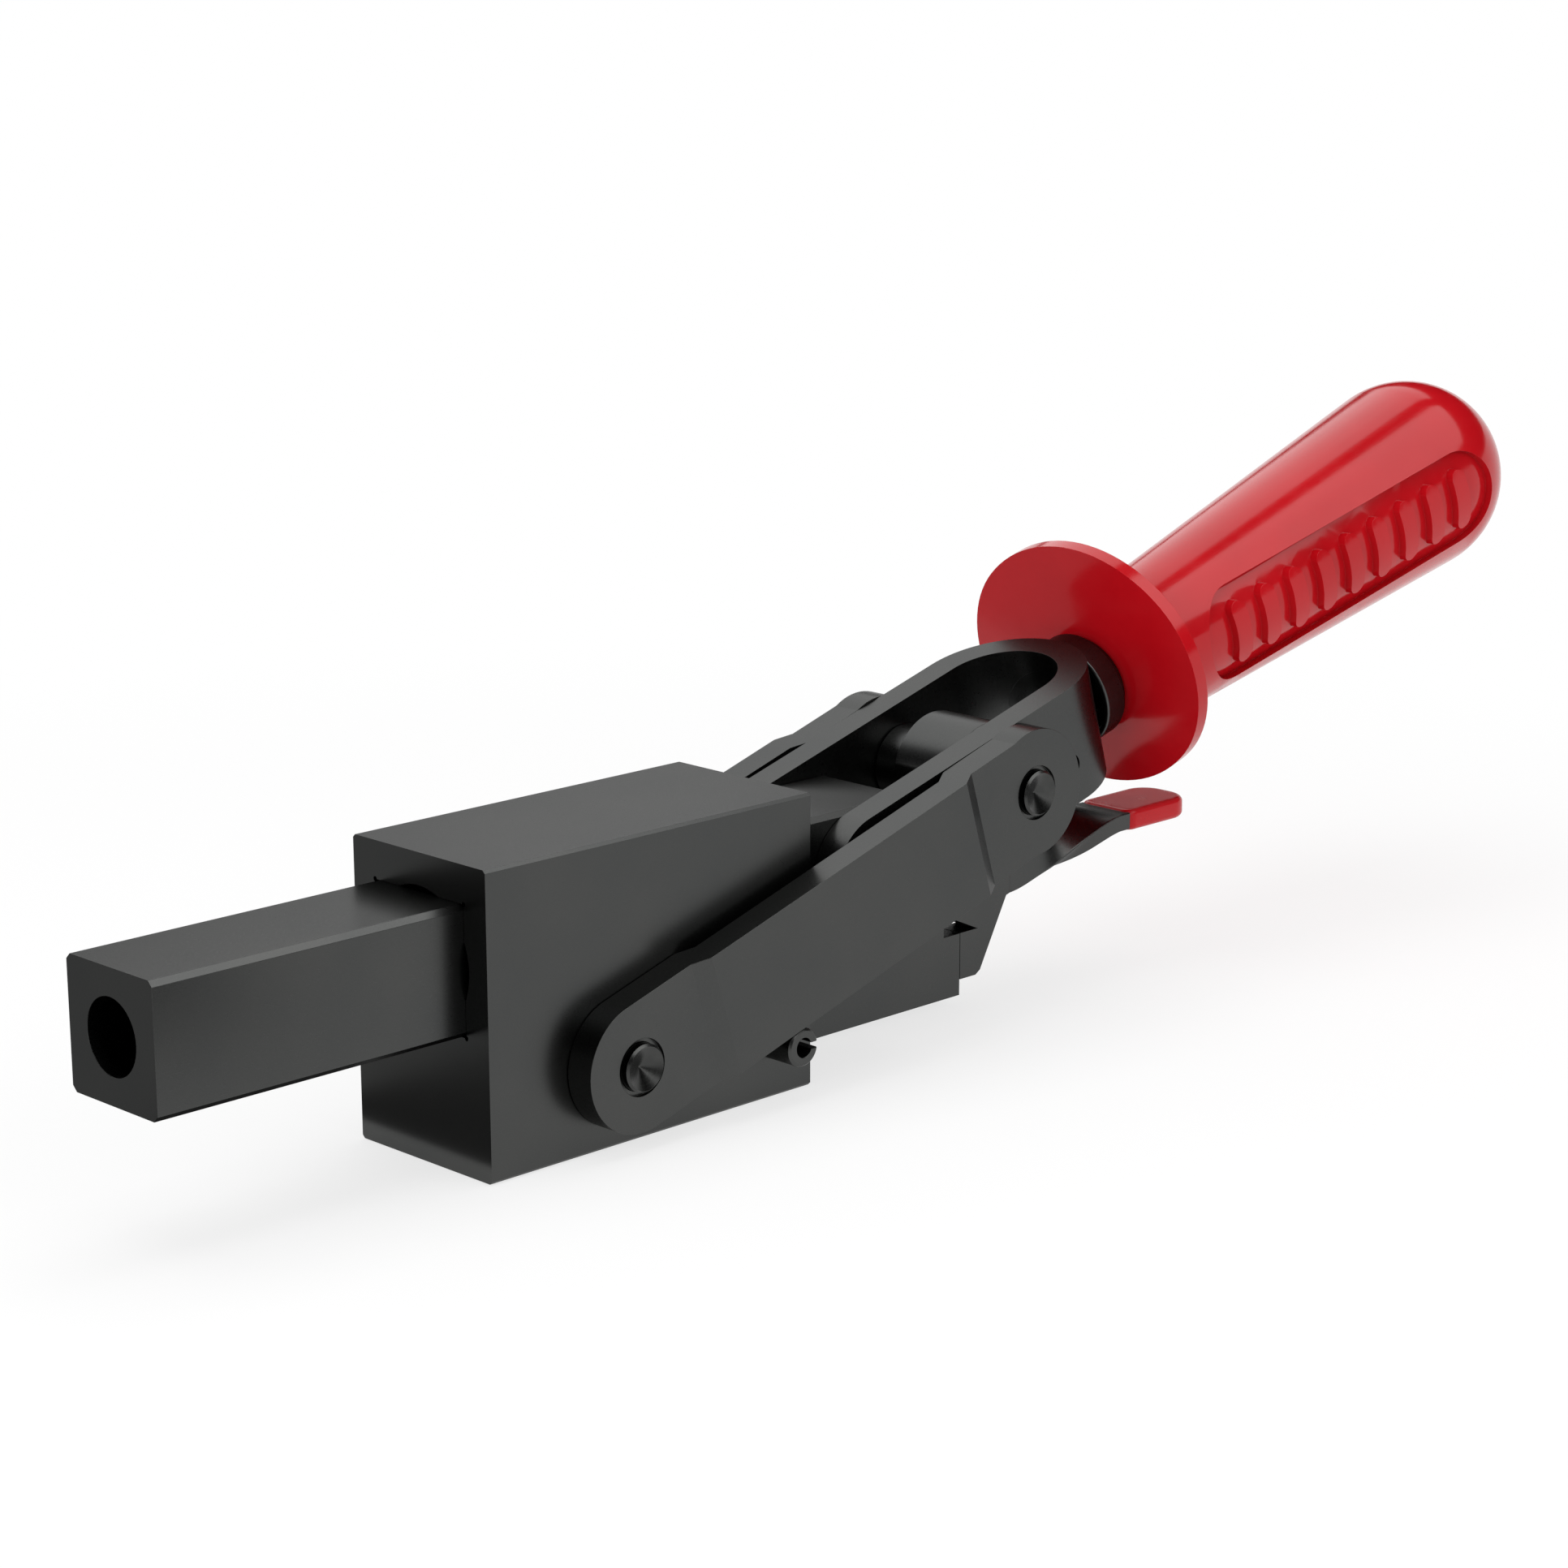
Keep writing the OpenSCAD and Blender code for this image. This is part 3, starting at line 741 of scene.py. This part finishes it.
def makeWorld():
    world = bpy.data.worlds.new("studio")
    bpy.context.scene.world = world
    world.use_nodes = True
    tree = world.node_tree
    tree.nodes.clear()
    lit = tree.nodes.new("ShaderNodeBackground")
    lit.inputs["Color"].default_value = (1, 1, 1, 1)
    lit.inputs["Strength"].default_value = studio["worldLight"]
    plain = tree.nodes.new("ShaderNodeBackground")
    plain.inputs["Color"].default_value = (1, 1, 1, 1)
    plain.inputs["Strength"].default_value = 1.0
    mix = tree.nodes.new("ShaderNodeMixShader")
    out = tree.nodes.new("ShaderNodeOutputWorld")
    tree.links.new(seenDirectly(tree), mix.inputs["Fac"])
    tree.links.new(lit.outputs["Background"], mix.inputs[1])
    tree.links.new(plain.outputs["Background"], mix.inputs[2])
    tree.links.new(mix.outputs["Shader"], out.inputs["Surface"])


def stagePlane(name, halfX, halfY):
    corners = [(-halfX, -halfY, 0), (halfX, -halfY, 0), (halfX, halfY, 0), (-halfX, halfY, 0)]
    mesh = bpy.data.meshes.new(name)
    mesh.from_pydata(corners, [], [(0, 1, 2, 3)])
    plane = bpy.data.objects.new(name, mesh)
    bpy.context.scene.collection.objects.link(plane)
    return plane


def makeFloor():
    # white, with its own shading mixed in near the object, so that the shadow shows there
    floor = stagePlane("floor", studio["floorSize"] / 2, studio["floorSize"] / 2)
    floor.location = studio["floorPlace"]
    material, tree, shader, place = newMaterial("paleFloor")
    shader.inputs["Base Color"].default_value = (*3 * [studio["floorGrey"]], 1)
    shader.inputs["Roughness"].default_value = 1.0
    plain = tree.nodes.new("ShaderNodeEmission")
    distance = tree.nodes.new("ShaderNodeVectorMath")
    distance.operation = "LENGTH"
    tree.links.new(place.outputs["Object"], distance.inputs[0])
    fade = tree.nodes.new("ShaderNodeMapRange")
    fade.interpolation_type = "SMOOTHSTEP"
    fade.inputs["From Min"].default_value = studio["shadowReach"] / 2
    fade.inputs["From Max"].default_value = studio["shadowReach"]
    fade.inputs["To Min"].default_value = 1 - studio["shadowShare"]
    fade.inputs["To Max"].default_value = 1.0
    tree.links.new(distance.outputs["Value"], fade.inputs["Value"])
    share = tree.nodes.new("ShaderNodeMath")
    share.operation = "MULTIPLY"
    tree.links.new(fade.outputs["Result"], share.inputs[0])
    tree.links.new(seenDirectly(tree), share.inputs[1])
    mix = tree.nodes.new("ShaderNodeMixShader")
    tree.links.new(share.outputs[0], mix.inputs["Fac"])
    tree.links.new(shader.outputs["BSDF"], mix.inputs[1])
    tree.links.new(plain.outputs["Emission"], mix.inputs[2])
    tree.links.new(mix.outputs["Shader"], tree.nodes["Material Output"].inputs["Surface"])
    floor.data.materials.append(material)


makeWorld()
makeFloor()
print("world and floor made")


# Cards that only reflections see: lit ones at the side, behind and in front, a dark cloth overhead where
# the steel would otherwise mirror the white room, and dark or dim sheets low by the object: painted shade
# that stands in for the floor's shadow in reflections

# each card's near and far edges as y and z above the object's middle, its reach along X, all in metres,
# and its glow, of which 1 is white
cards = {
    "sideCard": {"near": (-0.95, 0.706), "far": (-0.07, 0.98), "x": (-0.3, 1.0), "glow": 2.35},
    "rearCard": {"near": (0.15, 0.967), "far": (0.98, 0.35), "x": (-0.3, 1.05), "glow": 1.65},
    "darkCloth": {"near": (-5.5, 1.35), "far": (5.5, 1.35), "x": (-5.2, 5.8), "glow": 0.0},
    # painted shade: a black sheet low on the near side, seen only in reflections, standing in for the
    # shaded floor
    "floorCloth": {"near": (-0.50, 0.10), "far": (-0.12, -0.078), "x": (-0.10, 0.03), "glow": 0.0},
    "frontCard": {"near": (-1.0, 0.17), "far": (-0.9, 0.50), "x": (-0.3, 0.25), "glow": 2.0},
    # painted shade: a dim sheet from the floor behind the object, seen only in reflections, standing in for
    # the shadowed floor
    "rearCloth": {"near": (0.035, -0.078), "far": (0.70, 0.20), "x": (-0.8, 0.14), "glow": 0.45},
    # painted shade: a dim sheet just above the floor in front of the block, seen only in reflections, for
    # the floor's contact shadow
    "frontCloth": {"near": (-0.03, -0.079), "far": (0.12, -0.0785), "x": (-0.5, -0.003), "glow": 0.1},
}
cardsMiddle = 0.081       # metres above the floor


def makeCard(name, card):
    near = np.array(card["near"])
    far = np.array(card["far"])
    across = far - near
    middle = (near + far) / 2
    start, end = card["x"]
    plane = stagePlane(name, (end - start) / 2, np.linalg.norm(across) / 2)
    plane.location = ((start + end) / 2, middle[0], middle[1] + cardsMiddle)
    plane.rotation_euler = (math.atan2(across[1], across[0]), 0, 0)
    material, tree, shader, place = newMaterial(name)
    glow = tree.nodes.new("ShaderNodeEmission")
    glow.inputs["Strength"].default_value = card["glow"]
    tree.links.new(glow.outputs["Emission"], tree.nodes["Material Output"].inputs["Surface"])
    plane.data.materials.append(material)
    plane.visible_camera = False
    plane.visible_diffuse = False
    plane.visible_shadow = False
    plane.visible_transmission = False


for name, card in cards.items():
    makeCard(name, card)
print("reflection cards hung:", len(cards))


# Softboxes, which reflections don't see

# each lamp's place, what it faces and its width and height, in metres, and its power in watts
softboxes = {
    "overheadSoftbox": {"place": (0.1, 0.1, 1.0), "aim": (0.1, 0, 0), "size": (1.2, 0.8), "power": 5.0},
    "sideSoftbox": {"place": (0.3, -1.0, 0.6), "aim": (0.1, 0, 0.04), "size": (1.0, 0.6), "power": 3.0},
    "frontSoftbox": {"place": (-1.0, -0.2, 0.5), "aim": (0.15, 0, 0.06), "size": (0.8, 0.6), "power": 5.0},
}


def makeLamp(name, softbox):
    data = bpy.data.lights.new(name, "AREA")
    data.shape = "RECTANGLE"
    data.size, data.size_y = softbox["size"]
    data.energy = softbox["power"]
    lamp = bpy.data.objects.new(name, data)
    bpy.context.scene.collection.objects.link(lamp)
    lamp.location = softbox["place"]
    towards = Vector(softbox["aim"]) - Vector(softbox["place"])
    lamp.rotation_euler = towards.to_track_quat("-Z", "Y").to_euler()
    lamp.visible_glossy = False


for name, softbox in softboxes.items():
    makeLamp(name, softbox)
print("softboxes lit:", len(softboxes))

bpy.context.scene.view_settings.view_transform = "Standard"
